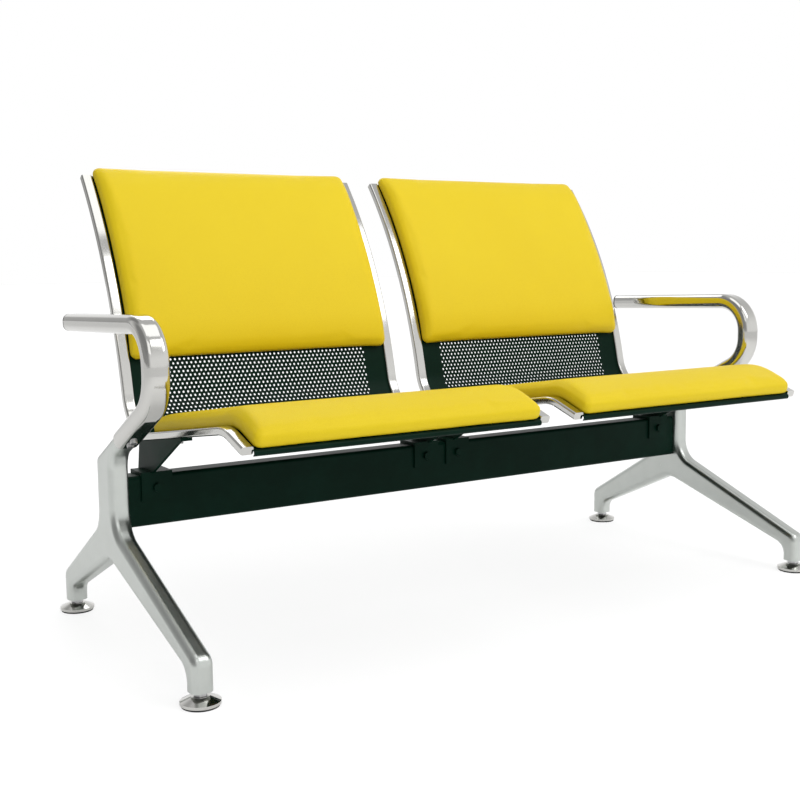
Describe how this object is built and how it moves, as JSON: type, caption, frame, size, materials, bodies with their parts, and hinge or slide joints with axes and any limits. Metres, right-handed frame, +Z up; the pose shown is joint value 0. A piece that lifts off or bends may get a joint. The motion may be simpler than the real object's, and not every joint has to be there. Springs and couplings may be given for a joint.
{
  "type": "beam seating bench",
  "caption": "Waiting room beam bench: padded seat shells on a steel beam, with polished spread legs, looped armrests and levelling feet.",
  "frame": {"origin": "floor level under the middle of the bench's box", "axes": "+X along the beam, -Y towards the sitter's front, +Z up"},
  "size_m": [1.256, 0.6276, 0.7536],
  "materials": {
    "black_steel": "satin powder coat",
    "zinc_steel": "zinc plated",
    "polished_alloy": "polished",
    "chrome": "bright chrome plate",
    "black_plastic": "moulded",
    "black_rubber": "moulded",
    "yellow_leather": "smooth coated cover",
    "plywood": "raw"
  },
  "bodies": {
    "bench": {"arm_left": "chrome", "arm_plug_left": "black_plastic", "arm_plug_right": "black_plastic", "arm_right": "chrome", "arm_screws_left": "zinc_steel", "arm_screws_right": "zinc_steel", "back_board_left": "plywood", "back_board_right": "plywood", "back_pad_left": "yellow_leather", "back_pad_right": "yellow_leather", "beam_spigot_left": "zinc_steel", "beam_spigot_right": "zinc_steel", "beam_tube": "black_steel", "bracket_bolts": "black_steel", "bracket_left_inner": "black_steel", "bracket_left_outer": "black_steel", "bracket_nuts": "black_steel", "bracket_right_inner": "black_steel", "bracket_right_outer": "black_steel", "foot_lock_nuts": "zinc_steel", "leg_left": "polished_alloy", "leg_right": "polished_alloy", "pad_screws_left": "zinc_steel", "pad_screws_right": "zinc_steel", "rail_screws": "zinc_steel", "seat_board_left": "plywood", "seat_board_right": "plywood", "seat_pad_left": "yellow_leather", "seat_pad_right": "yellow_leather", "seat_panel_left": "black_steel", "seat_panel_right": "black_steel", "side_rail_left_inner": "chrome", "side_rail_left_outer": "chrome", "side_rail_right_inner": "chrome", "side_rail_right_outer": "chrome", "spigot_bolts": "zinc_steel", "tee_nuts_left": "zinc_steel", "tee_nuts_right": "zinc_steel"},
    "foot_front_left": {"foot_disc_front_left": "chrome", "foot_sole_front_left": "black_rubber"},
    "stud_front_left": {"foot_stud_front_left": "zinc_steel"},
    "foot_rear_left": {"foot_disc_rear_left": "chrome", "foot_sole_rear_left": "black_rubber"},
    "stud_rear_left": {"foot_stud_rear_left": "zinc_steel"},
    "foot_front_right": {"foot_disc_front_right": "chrome", "foot_sole_front_right": "black_rubber"},
    "stud_front_right": {"foot_stud_front_right": "zinc_steel"},
    "foot_rear_right": {"foot_disc_rear_right": "chrome", "foot_sole_rear_right": "black_rubber"},
    "stud_rear_right": {"foot_stud_rear_right": "zinc_steel"}
  },
  "joints": [
    {"name": "foot_lift_front_left", "type": "slide", "parent": "bench", "child": "foot_front_left", "axis": [0, 0, -1], "range_m": [0, 0.015]},
    {"name": "stud_turn_front_left", "type": "hinge", "parent": "foot_front_left", "child": "stud_front_left", "pos_m": [-0.6, -0.2701, 0.03], "axis": [0, 0, -1], "range_deg": [0, 3610]},
    {"name": "foot_lift_rear_left", "type": "slide", "parent": "bench", "child": "foot_rear_left", "axis": [0, 0, -1], "range_m": [0, 0.015]},
    {"name": "stud_turn_rear_left", "type": "hinge", "parent": "foot_rear_left", "child": "stud_rear_left", "pos_m": [-0.6, 0.255, 0.03], "axis": [0, 0, -1], "range_deg": [0, 3610]},
    {"name": "foot_lift_front_right", "type": "slide", "parent": "bench", "child": "foot_front_right", "axis": [0, 0, -1], "range_m": [0, 0.015]},
    {"name": "stud_turn_front_right", "type": "hinge", "parent": "foot_front_right", "child": "stud_front_right", "pos_m": [0.6, -0.2701, 0.03], "axis": [0, 0, -1], "range_deg": [0, 3610]},
    {"name": "foot_lift_rear_right", "type": "slide", "parent": "bench", "child": "foot_rear_right", "axis": [0, 0, -1], "range_m": [0, 0.015]},
    {"name": "stud_turn_rear_right", "type": "hinge", "parent": "foot_rear_right", "child": "stud_rear_right", "pos_m": [0.6, 0.255, 0.03], "axis": [0, 0, -1], "range_deg": [0, 3610]}
  ],
  "couplings": [
    {"joint": "stud_turn_front_left", "follows": "foot_lift_front_left", "rad_per_m": 4188.8},
    {"joint": "stud_turn_rear_left", "follows": "foot_lift_rear_left", "rad_per_m": 4188.8},
    {"joint": "stud_turn_front_right", "follows": "foot_lift_front_right", "rad_per_m": 4188.8},
    {"joint": "stud_turn_rear_right", "follows": "foot_lift_rear_right", "rad_per_m": 4188.8}
  ]
}
